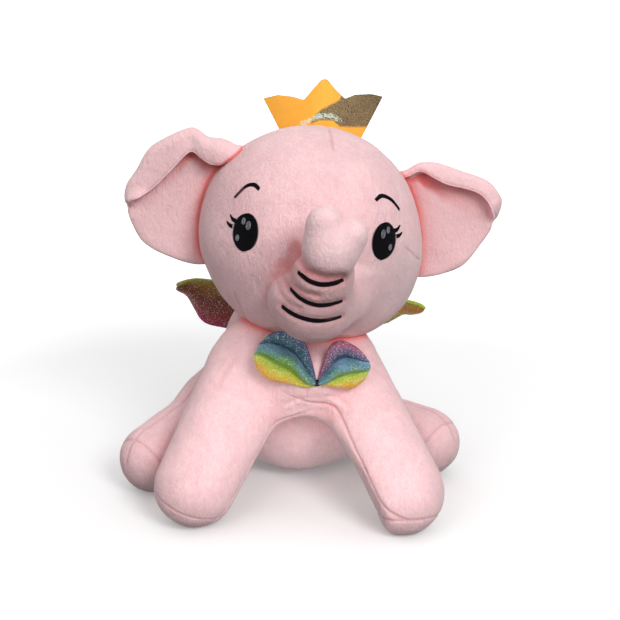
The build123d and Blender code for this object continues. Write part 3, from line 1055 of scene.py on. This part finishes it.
def make_ear(side):
    ear, sign = EARS[side], SIDES[side]
    hinge = pivot(f"ear_{side}_flap")
    sweep = -sign * EAR_SWEEP
    out = np.array((sign * cos(sweep), sin(sweep), 0))
    up = np.array((0.0, 0, 1))
    front = np.array((sign * sin(sweep), -cos(sweep), 0))
    middle = np.array(ear["centre"], float)
    rim = closed_curve(ear["outline"], EAR_SPOKES) - middle
    radius = norm(rim)
    ray = rim / radius[:, None]
    around = degrees_round(ray)
    roll = eased(around, ear["roll"])
    turn = np.radians(eased(around, ear["turn"]))
    lip = smooth_path(ear["lip"], 80) - middle
    lip_around = degrees_round(lip)
    back = radius - np.interp(around, lip_around, norm(lip), left=-1, right=-1)
    folded_here = (around > lip_around[0]) & (around < lip_around[-1])
    shade = np.array(ear["shade"], float) - middle
    shade_r = np.interp(around, degrees_round(shade), norm(shade), left=1e3, right=1e3)
    # the rim stands out past the middle of the cloth where it rolls over
    radius = radius - EAR_RIM * ramp(turn, 0.3, 1.5)
    flap = np.where(folded_here, back - EAR_RIM - roll * (1 - np.sin(turn)), 0)
    flap = np.clip(flap / np.maximum(-np.cos(turn), 0.45), 0, 40) * (turn > 0.5)
    flap = eased_round(flap, 15)
    # along each spoke: flat, then round the roll, then the flap
    reach = np.where(turn < pi / 2, roll * np.sin(turn) + flap * np.cos(turn), roll)
    flat = radius - reach
    total = flat + roll * turn + flap
    s = np.linspace(0, 1, EAR_STEPS)[None] ** 0.8 * total[:, None]
    share = s / total[:, None]
    past = np.clip(s - flat[:, None], 0, (roll * turn)[:, None]) / roll[:, None]
    beyond = np.clip(s - (flat + roll * turn)[:, None], 0, None)
    d = np.minimum(s, flat[:, None]) + roll[:, None] * np.sin(past)
    d = d + beyond * np.cos(turn)[:, None]
    n = roll[:, None] * (1 - np.cos(past)) + beyond * np.sin(turn)[:, None]
    n = n + EAR_DISH * (d / radius.max()) ** 2 - EAR_SINK
    base = hinge + out * (middle[0] - abs(hinge[0])) + up * (middle[1] - hinge[2])
    outward = ray[:, :1] * out + ray[:, 1:] * up
    centre_line = base + d[:, :, None] * outward[:, None] + n[:, :, None] * front
    rough = centre_line.reshape(-1, 3)
    soft = (1.1 * noise(rough, 19, 3) + 0.5 * noise(rough, 8, 1)).reshape(s.shape)
    centre_line = centre_line + front * (soft * share)[:, :, None]
    facing = np.cos(past)[:, :, None] * front - np.sin(past)[:, :, None] * outward[:, None]
    half = EAR_HALF_THICK * np.sqrt(np.clip(1 - share**14, 0, 1))
    half = half * (0.88 + 0.12 * np.cos(share * pi))
    stitched = groove(total[:, None] - s - 0.5, 0.6)
    top = centre_line + facing * half[:, :, None]
    bottom = centre_line - facing * half[:, :, None]
    points, quads = pad_quads(top, bottom)
    if sign > 0:
        quads = quads[:, ::-1]
    normals = vertex_normals(points, quads)
    # painted shade where the ear meets the head
    near = 1.8 * painted_shade(toy_field, points, normals) * ramp(in_chunks(toy_field, points), -5, -1)
    # painted shade beneath the folded flap, as deep as the table shut gives
    shut = eased(around, ear["shut"]) * eased_round(folded_here, 9)
    folded = fold_shade(d, flat, flap, turn, past, shade_r) * shut[:, None]
    folded = np.concatenate((folded.ravel(), np.zeros(folded.size)))
    seam = np.concatenate((stitched.ravel(), stitched.ravel())) * 0.35
    marks = {"painted_shade": np.clip(np.maximum(near, folded), 0, 1), "seam": seam}
    marks["calm"] = np.full(len(points), 0.75)
    piece = make_object(f"ear_{side}", points, quads, PINK, None, **marks)
    nodes = [f"ear_{side}_{layer}" for layer in ("back", "wadding", "front")]
    settle(piece, f"ear_{side}", nodes)


def fold_shade(d, flat, flap, turn, past, shade_r):
    """How shut in the ear's front is beneath its folded flap."""
    lip = flat + np.minimum(flap * np.cos(turn), 0)
    start = np.minimum(lip - 6, shade_r)
    covered = ramp(d - start[:, None], -2, 5)
    return covered * (past <= 0.01)


def polar_quads(spokes, steps):
    """The point numbers of a round sheet, those of each next spoke, and the sheet's quads."""
    sheet = np.arange(spokes * steps).reshape(spokes, steps)
    sheet[:, 0] = 0
    turned = np.roll(sheet, -1, axis=0)
    quads = np.stack((sheet[:, :-1], sheet[:, 1:], turned[:, 1:], turned[:, :-1]), axis=-1)
    return sheet, turned, quads.reshape(-1, 4)


def pad_quads(top, bottom):
    """Two polar sheets that share their rim and close at their middles."""
    spokes, steps = top.shape[:2]
    sheet, turned, quads = polar_quads(spokes, steps)
    other = quads[:, ::-1] + spokes * steps
    rim, after = sheet[:, -1], turned[:, -1]
    edge = np.stack((rim, rim + spokes * steps, after + spokes * steps, after), axis=-1)
    points = np.concatenate((top.reshape(-1, 3), bottom.reshape(-1, 3)))
    return points, np.concatenate((quads, other, edge))


for ear_side in SIDES:
    make_ear(ear_side)


# ---- crown, wings, bow and tail -------------------------------------------------------------
def slab(name, middle, half, material, **marks):
    """A closed sheet either side of a grid of points, half thick in millimetres."""
    rows, columns = middle.shape[:2]
    normals = np.cross(np.gradient(middle, axis=0), np.gradient(middle, axis=1))
    normals = normals / np.maximum(norm(normals), 1e-9)[..., None]
    half = np.broadcast_to(half, (rows, columns))[..., None]
    below = rows * columns
    sheet = np.arange(below).reshape(rows, columns)
    quads = np.stack((sheet[:-1, :-1], sheet[1:, :-1], sheet[1:, 1:], sheet[:-1, 1:]), axis=-1)
    quads = quads.reshape(-1, 4)
    rim = np.concatenate((sheet[:, 0], sheet[-1, 1:], sheet[-2::-1, -1], sheet[0, -2:0:-1]))
    after = np.roll(rim, -1)
    edge = np.stack((rim, rim + below, after + below, after), axis=-1)
    points = np.concatenate(((middle + normals * half).reshape(-1, 3),
                             (middle - normals * half).reshape(-1, 3)))
    faces = np.concatenate((quads, quads[:, ::-1] + below, edge))
    doubled = {mark: np.tile(np.asarray(values).ravel(), 2) for mark, values in marks.items()}
    return make_object(name, points, faces, material, None, **doubled)


def between(lower, upper, across):
    """A grid of points from one line of points to another."""
    share = np.linspace(0, 1, across)[None, :, None]
    return lower[:, None] * (1 - share) + upper[:, None] * share


def gold_foil():
    """Gold leatherette: bright smooth foil, darker with a grain over one region, and painted
    glints.
    """
    s = Shader("gold_leatherette")
    place = s.place()
    grain = s.node("ShaderNodeTexVoronoi", Vector=s.stretch(place, 1, 1, 2.2), Scale=1300.0)
    cells, tone = grain.outputs["Distance"], grain.outputs["Color"]
    cloud = s.noise(place, 60.0, 3.0, 0.5)
    bright = s.mix(cloud, (0.80, 0.32, 0.015), (0.84, 0.41, 0.04))
    dusk = s.ramp(s.math("ADD", cells, s.times(cloud, 0.3)),
                  (0.46, (0.012, 0.008, 0.004)), (0.78, (0.27, 0.175, 0.07)))
    colour = s.mix(s.mark("dark"), bright, dusk)
    # painted glints: pale mint flecks along the glint line
    spark = s.math("GREATER_THAN", s.times(tone, s.mark("glint")), 0.42)
    colour = s.mix(s.times(spark, 0.8), colour, (0.52, 0.72, 0.60))
    s.set(
        Base_Color=colour,
        Metallic=0.35,
        Roughness=0.42,
        Normal=s.bump(cells, 0.45, 0.0004),
    )
    return s.material


GLITTER_BANDS = {  # place from the lower edge up, then red, green and blue
    "rainbow_glitter_bow": (
        (0.02, 0.85, 0.42, 0.02), (0.10, 0.72, 0.66, 0.04), (0.26, 0.42, 0.62, 0.04),
        (0.38, 0.16, 0.36, 0.04), (0.45, 0.10, 0.30, 0.36), (0.53, 0.26, 0.50, 0.72),
        (0.62, 0.004, 0.035, 0.12), (0.73, 0.10, 0.10, 0.20), (0.88, 0.42, 0.14, 0.27),
        (1.0, 0.50, 0.015, 0.07),
    ),
    "rainbow_glitter_bow_right": (
        (0.0, 0.85, 0.42, 0.02), (0.10, 0.72, 0.62, 0.04), (0.24, 0.46, 0.62, 0.04),
        (0.42, 0.14, 0.34, 0.04), (0.48, 0.12, 0.30, 0.36), (0.54, 0.30, 0.52, 0.72),
        (0.61, 0.004, 0.035, 0.10), (0.74, 0.03, 0.12, 0.17), (0.88, 0.08, 0.14, 0.26),
        (1.0, 0.26, 0.08, 0.26),
    ),
    "rainbow_glitter_wing_right": (
        (0.0, 0.42, 0.03, 0.12), (0.18, 0.30, 0.03, 0.035), (0.55, 0.17, 0.035, 0.008),
        (0.80, 0.30, 0.12, 0.01), (1.0, 0.42, 0.40, 0.02),
    ),
    "rainbow_glitter_wing_left": (
        (0.0, 0.30, 0.30, 0.01), (0.22, 0.48, 0.36, 0.01), (0.5, 0.56, 0.20, 0.008),
        (0.75, 0.52, 0.42, 0.012), (0.95, 0.62, 0.78, 0.03),
    ),
}


def glitter(name):
    """Woven cloth covered with glitter; its colours run across it in bands."""
    s = Shader(name)
    place = s.place()
    waver = s.times(s.math("SUBTRACT", s.noise(place, 110.0, 3.0, 0.6), 0.5), 0.22)
    stops = [(at, colour) for at, *colour in GLITTER_BANDS[name]]
    colour = s.ramp(s.math("ADD", s.mark("band"), waver), *stops)
    flakes = s.node("ShaderNodeTexVoronoi", Vector=place, Scale=2300.0)
    tone, edge = flakes.outputs["Color"], flakes.outputs["Distance"]
    value = s.node("ShaderNodeSeparateColor", Color=tone).outputs[0]
    colour = s.mix(s.times(value, 0.45), colour, (0.02, 0.03, 0.03))
    pale = s.math("GREATER_THAN", value, 0.92)
    colour = s.mix(s.times(pale, 0.6), colour, (0.85, 0.92, 0.90))
    s.set(
        Base_Color=colour,
        Metallic=0.5,
        Roughness=0.34,
        Normal=s.bump(s.math("ADD", edge, value), 0.8, 0.0005),
        Coat_Weight=0.1,
        Coat_Roughness=0.3,
    )
    return s.material


CROWN_BASE = ((-15.5, 252), (0, 255), (20, 254), (36, 247.5))
CROWN_TOP = (
    (-29.3, 279.4), (-20, 282), (-9.6, 281), (-2, 278.8), (4.5, 286.5), (10.5, 292.8),
    (14.0, 293.0), (19, 286.8), (26.6, 279.3), (34.2, 281.9), (46, 282), (54.6, 279.8),
)
CROWN_BEND_R = 70.0
CROWN_GRAIN = (  # the dark grain's upper and lower edge, and the line where it glints
    ((1, 262.4), (4, 265.3), (5.8, 268.8), (10.5, 272.8), (16.4, 275.7), (22.3, 278.5), (26, 285)),
    ((2.2, 262.4), (4, 263), (8.1, 265.2), (18.2, 264.6), (23, 260.4), (31.3, 259.8), (60, 258.5)),
    ((-5, 262.5), (-1, 263.5), (8, 268), (16.4, 268), (23, 264.5)),
)


def make_crown():
    pivot_at = pivot("crown_bend")
    top, base = np.array(CROWN_TOP), np.array(CROWN_BASE)
    count, rows = 150, 30
    # straight between the given points near the valleys, round at the tips
    lengths = np.concatenate(((0,), np.cumsum(norm(np.diff(top, axis=0)))))
    t = np.linspace(0, 1, count)
    upper = np.stack([np.interp(t * lengths[-1], lengths, top[:, i]) for i in range(2)], axis=-1)
    kernel = np.array((0.25, 0.5, 0.25))
    for _ in range(2):
        upper[1:-1] = sum(kernel[k] * upper[k : count - 2 + k] for k in range(3))
    lower = smooth_path(base, count)
    flat = between(lower, upper, rows)
    x, z = flat[..., 0], flat[..., 1]
    angle = (x - 10) / CROWN_BEND_R
    y = pivot_at[1] - 1 + CROWN_BEND_R * (1 - np.cos(angle)) + 0.02 * (z - 255)
    y = y + 0.5 * sheet_noise(x, z, 16, 2)
    middle = np.stack((x, y, z), axis=-1)
    over, under, bright = (np.interp(x, *np.array(line).T) for line in CROWN_GRAIN)
    dark = ramp(over - z, -1.2, 1.2) * ramp(z - under, -0.8, 0.8) * ramp(x, 1, 4)
    glint = groove(z - bright, 2.6) * ramp(x, -8, -3) * ramp(27 - x, 0, 5)
    piece = slab("crown", middle, 0.7, gold_foil(), dark=dark, glint=glint)
    settle(piece, "crown", ["crown"])


def edge_taper(rows, columns, half, rim=0.35):
    """Half the thickness of a flat pad: thin at its edges, full in its middle."""
    u, v = np.linspace(-1, 1, rows)[:, None], np.linspace(-1, 1, columns)[None]
    full = np.clip((1 - u**8) * (1 - v**4), 0, 1) ** 0.5
    return rim + (half - rim) * full


WING_EDGES = {
    "right": {
        "lower": ((-12, 96), (-40, 97), (-58, 101.5), (-71, 104.5), (-77.5, 109), (-82, 117),
                  (-87, 126.5), (-93.5, 132), (-95, 135)),
        "upper": ((-12, 118), (-40, 132), (-58, 138), (-68, 140.5), (-76, 142), (-82, 142.4),
                  (-88, 141), (-93, 138.5), (-95, 136.7)),
    },
    "left": {
        "lower": ((12, 96), (38, 99), (60, 101.5), (67, 102.4), (73, 105.5), (80, 109),
                  (86, 108.6), (91, 109.5), (95.5, 113)),
        "upper": ((12, 118), (38, 121), (58, 122.5), (66, 122.8), (73, 122.6), (80, 121.6),
                  (87, 120), (92, 118), (96.2, 115)),
    },
}


def make_wing(side, material):
    edges = WING_EDGES[side]
    rows, columns = 90, 36
    grid = between(smooth_path(edges["lower"], rows), smooth_path(edges["upper"], rows), columns)
    x, z = grid[..., 0], grid[..., 1]
    v = np.linspace(0, 1, columns)[None] + 0 * x
    u = np.linspace(0, 1, rows)[:, None] + 0 * x
    hinge = pivot(f"wing_{side}_flap")
    waves = 2.2 * np.sin(v * 7.5 + 1.2 * u) * ramp(u, 0.1, 0.5) * (1 - 0.4 * u)
    y = hinge[1] + waves + 0.9 * sheet_noise(x, z, 11, 1)
    y = y - 5.0 * groove(v - 1, 0.16) * ramp(u, 0.2, 0.6)
    middle = np.stack((x, y, z), axis=-1)
    piece = slab(f"wing_{side}", middle, edge_taper(rows, columns, 2.2), material, band=v)
    nodes = [f"wing_{side}_{layer}" for layer in ("back", "wadding", "front")]
    settle(piece, f"wing_{side}", nodes)


BOW_EDGES = {
    # from the pinch along the lower edge to the outer end, and along the upper edge
    "right": {
        "lower": ((-1.0, 96.3), (-8.4, 95.1), (-20.5, 98.6), (-31.2, 100.5), (-38, 106),
                  (-40.5, 112)),
        "upper": ((-0.9, 100.6), (-3.6, 112.5), (-8.4, 127), (-18.3, 133.3), (-29, 133),
                  (-36, 126)),
    },
    "left": {
        "lower": ((1.0, 96.3), (9.8, 95.5), (18, 93.8), (25, 93.3), (31.5, 98), (35, 103.5)),
        "upper": ((0.9, 100.6), (4.4, 111), (9.0, 123.5), (16.3, 126.8), (25.1, 122.6),
                  (31.5, 116)),
    },
}


def make_bow(side, material):
    sign = SIDES[side]
    edges = BOW_EDGES[side]
    rows, columns = 70, 60
    grid = between(smooth_path(edges["lower"], rows), smooth_path(edges["upper"], rows), columns)
    u, v = np.linspace(0, 1, rows)[:, None], np.linspace(0, 1, columns)[None]
    # the outer end bulges past the straight line between the two edges
    bulge = 3.0 * np.sin(v * pi) * u**6
    x, z = grid[..., 0] + sign * bulge, grid[..., 1]
    hinge = pivot(f"bow_{side}_flex")
    line = 0.52 + 0.27 * u if side == "right" else 0.56 + 0.10 * np.sin(u * 3.0) - 0.04 * u
    valley = groove(v - line, 0.075) * (1 - 0.75 * ramp(u, 0.55, 1.0))
    ridge = groove(v - line + 0.16, 0.085) * (1 - 0.5 * ramp(u, 0.5, 1.0))
    dip = groove(v - line + 0.36, 0.11) * (1 - ramp(u, 0.35, 0.9))
    crown_of = np.sin(np.clip(v, 0, 1) * pi) ** 0.6
    forward = 2.0 * crown_of - 6.0 * valley + 4.2 * ridge - 2.6 * dip
    forward = forward * ramp(u, -0.25, 0.3) + 1.5
    y = hinge[1] - forward - 0.6 * sheet_noise(x, z, 9, 2) + 4.5 * u**2
    middle = np.stack((x, y, z), axis=-1)
    half = edge_taper(rows, columns, 1.9)
    piece = slab(f"bow_{side}", middle, half, material, band=v + 0.6 - line)
    settle(piece, f"bow_{side}", [f"bow_{side}_lobe"])


KNOT_LOOP = ((0, -49), (-2.6, -51), (-2.4, -53.6), (0, -54.6), (2.4, -53.6), (2.6, -51), (0, -49))
KNOT_HEIGHTS = (97.0, 98.6, 100.2)


def make_trim():
    for side in SIDES:
        make_wing(side, glitter(f"rainbow_glitter_wing_{side}"))
    make_bow("right", glitter("rainbow_glitter_bow_right"))
    make_bow("left", glitter("rainbow_glitter_bow"))
    loops = []
    for height in KNOT_HEIGHTS:
        loops.append(smooth_path([(x, y, height) for x, y in KNOT_LOOP], 40))
    points, quads = tubes(loops, 0.55)
    knot = make_object("bow_stitches", points, quads, BLACK)
    settle(knot, "torso", ["bow_stitching"])


def make_tail():
    top = corner("tail_cover", 0, 0, 1) + (0, -6, -8)
    low = corner("tail_cover", 0, 0, -1) + (0, 0, 6)

    def field(p):
        return limb(p, top, low, 5.2, 6.2) + 0.7 * groove(p[:, 0], 0.7) + 0.25 * noise(p, 6, 1)

    points, quads = skin(field, top - (10, 12, 44), top + (10, 16, 12), 1.4)
    marks = {"seam": groove(points[:, 0], 0.7), "painted_shade": np.zeros(len(points))}
    piece = make_object("tail", points, quads, PINK, vertex_normals(points, quads), **marks)
    settle(piece, "tail", ["tail_cover", "tail_filling"])


make_crown()
make_trim()
make_tail()


# ---- stage ----------------------------------------------------------------------------------
FLOOR_FLAT, FLOOR_EDGE, WALL_TOP = 1.1, 2.6, 1.6  # metres
SKY_LOW, SKY_HIGH = 0.10, 0.72  # the sky's strength below and above the toy


def make_stage():
    """A pale floor that curves up into a wall all round, and the sky that lights the toy."""
    s = Shader("pale_floor")
    place = s.node("ShaderNodeSeparateXYZ", Vector=s.place())
    square = s.math("ADD", s.math("POWER", s.math("ABSOLUTE", place.outputs[0]), 2.0),
                    s.math("POWER", s.math("ABSOLUTE", place.outputs[1]), 2.0))
    glow = s.ramp(s.math("SQRT", square), (0.0, (0.14, 0.14, 0.14)),
                  (0.4, (0.3, 0.3, 0.3)), (0.95, (1, 1, 1)))
    grain = s.noise(s.place(), 300.0, 2.0, 0.5)
    s.set(
        Base_Color=s.mix(s.times(grain, 0.04), (0.92, 0.92, 0.92), (0.84, 0.84, 0.84)),
        Roughness=0.9,
        Emission_Color=glow,
        Emission_Strength=0.75,
    )
    turns, rings = 96, 24
    share = np.linspace(0, 1, rings)
    flat, curl = share < 0.3, (share - 0.3) / 0.7 * pi / 2
    across = np.where(flat, share / 0.3 * FLOOR_FLAT,
                      FLOOR_FLAT + (FLOOR_EDGE - FLOOR_FLAT) * np.sin(curl))
    rise = np.where(flat, 0, WALL_TOP * (1 - np.cos(curl)))
    angles = np.arange(turns) * 2 * pi / turns
    points = np.stack((np.outer(np.cos(angles), across), np.outer(np.sin(angles), across),
                       np.tile(rise, (turns, 1))), axis=-1) * MM
    quads = polar_quads(turns, rings)[2]
    floor = make_object("floor", points.reshape(-1, 3), quads, s.material)
    floor.visible_diffuse = False
    floor.visible_shadow = False

    world = bpy.data.worlds.new("studio")
    bpy.context.scene.world = world
    world.use_nodes = True
    nodes, links = world.node_tree.nodes, world.node_tree.links
    place = nodes.new("ShaderNodeTexCoord")
    split = nodes.new("ShaderNodeSeparateXYZ")
    shade = nodes.new("ShaderNodeMapRange")
    links.new(place.outputs["Generated"], split.inputs[0])
    links.new(split.outputs["Z"], shade.inputs["Value"])
    ends = {"From Min": -0.25, "From Max": 0.75, "To Min": SKY_LOW, "To Max": SKY_HIGH}
    for name, value in ends.items():
        shade.inputs[name].default_value = value
    links.new(shade.outputs["Result"], nodes["Background"].inputs["Strength"])
    nodes["Background"].inputs["Color"].default_value = (1, 1, 1, 1)


def put_aimed(name, data, place, aim):
    """A lamp or camera at a place, looking at another."""
    made = bpy.data.objects.new(name, data)
    made.location = place
    made.rotation_mode = "QUATERNION"
    made.rotation_quaternion = (aim - place).to_track_quat("-Z", "Y")
    bpy.context.scene.collection.objects.link(made)
    return made


def make_lamp(name, place, aim, size, watts, cone=None):
    """A round soft lamp, or a soft-edged spot where a cone is given."""
    data = bpy.data.lights.new(name, "SPOT" if cone else "AREA")
    data.energy = watts
    if cone:
        data.shadow_soft_size, data.spot_size, data.spot_blend = size, cone, 1.0
    else:
        data.shape, data.size = "DISK", size
    put_aimed(name, data, Vector(place), Vector(aim))


CAMERA_TARGET = Vector((0, -0.002, 0.135))
CAMERA_AWAY, CAMERA_TURN, CAMERA_RISE = 0.8, radians(-5), radians(15)
CAMERA_LENS = 66


def make_camera():
    data = bpy.data.cameras.new("camera")
    data.lens, data.sensor_width = CAMERA_LENS, 36
    level = cos(CAMERA_RISE)
    back = Vector((sin(CAMERA_TURN) * level, -cos(CAMERA_TURN) * level, sin(CAMERA_RISE)))
    place = CAMERA_TARGET + back * CAMERA_AWAY
    bpy.context.scene.camera = put_aimed("camera", data, place, CAMERA_TARGET)


make_stage()
make_lamp("key", (0.35, -1.05, 0.82), (0, 0, 0.15), 0.5, 9.2)
make_lamp("fill", (-0.6, -1.0, 0.8), (0, 0, 0.15), 0.6, 2.4)
make_lamp("low", (-0.06, -1.05, 0.12), (-0.005, 0, 0.036), 0.08, 52.0, cone=radians(7.8))
make_camera()
bpy.context.scene.view_settings.view_transform = "Standard"
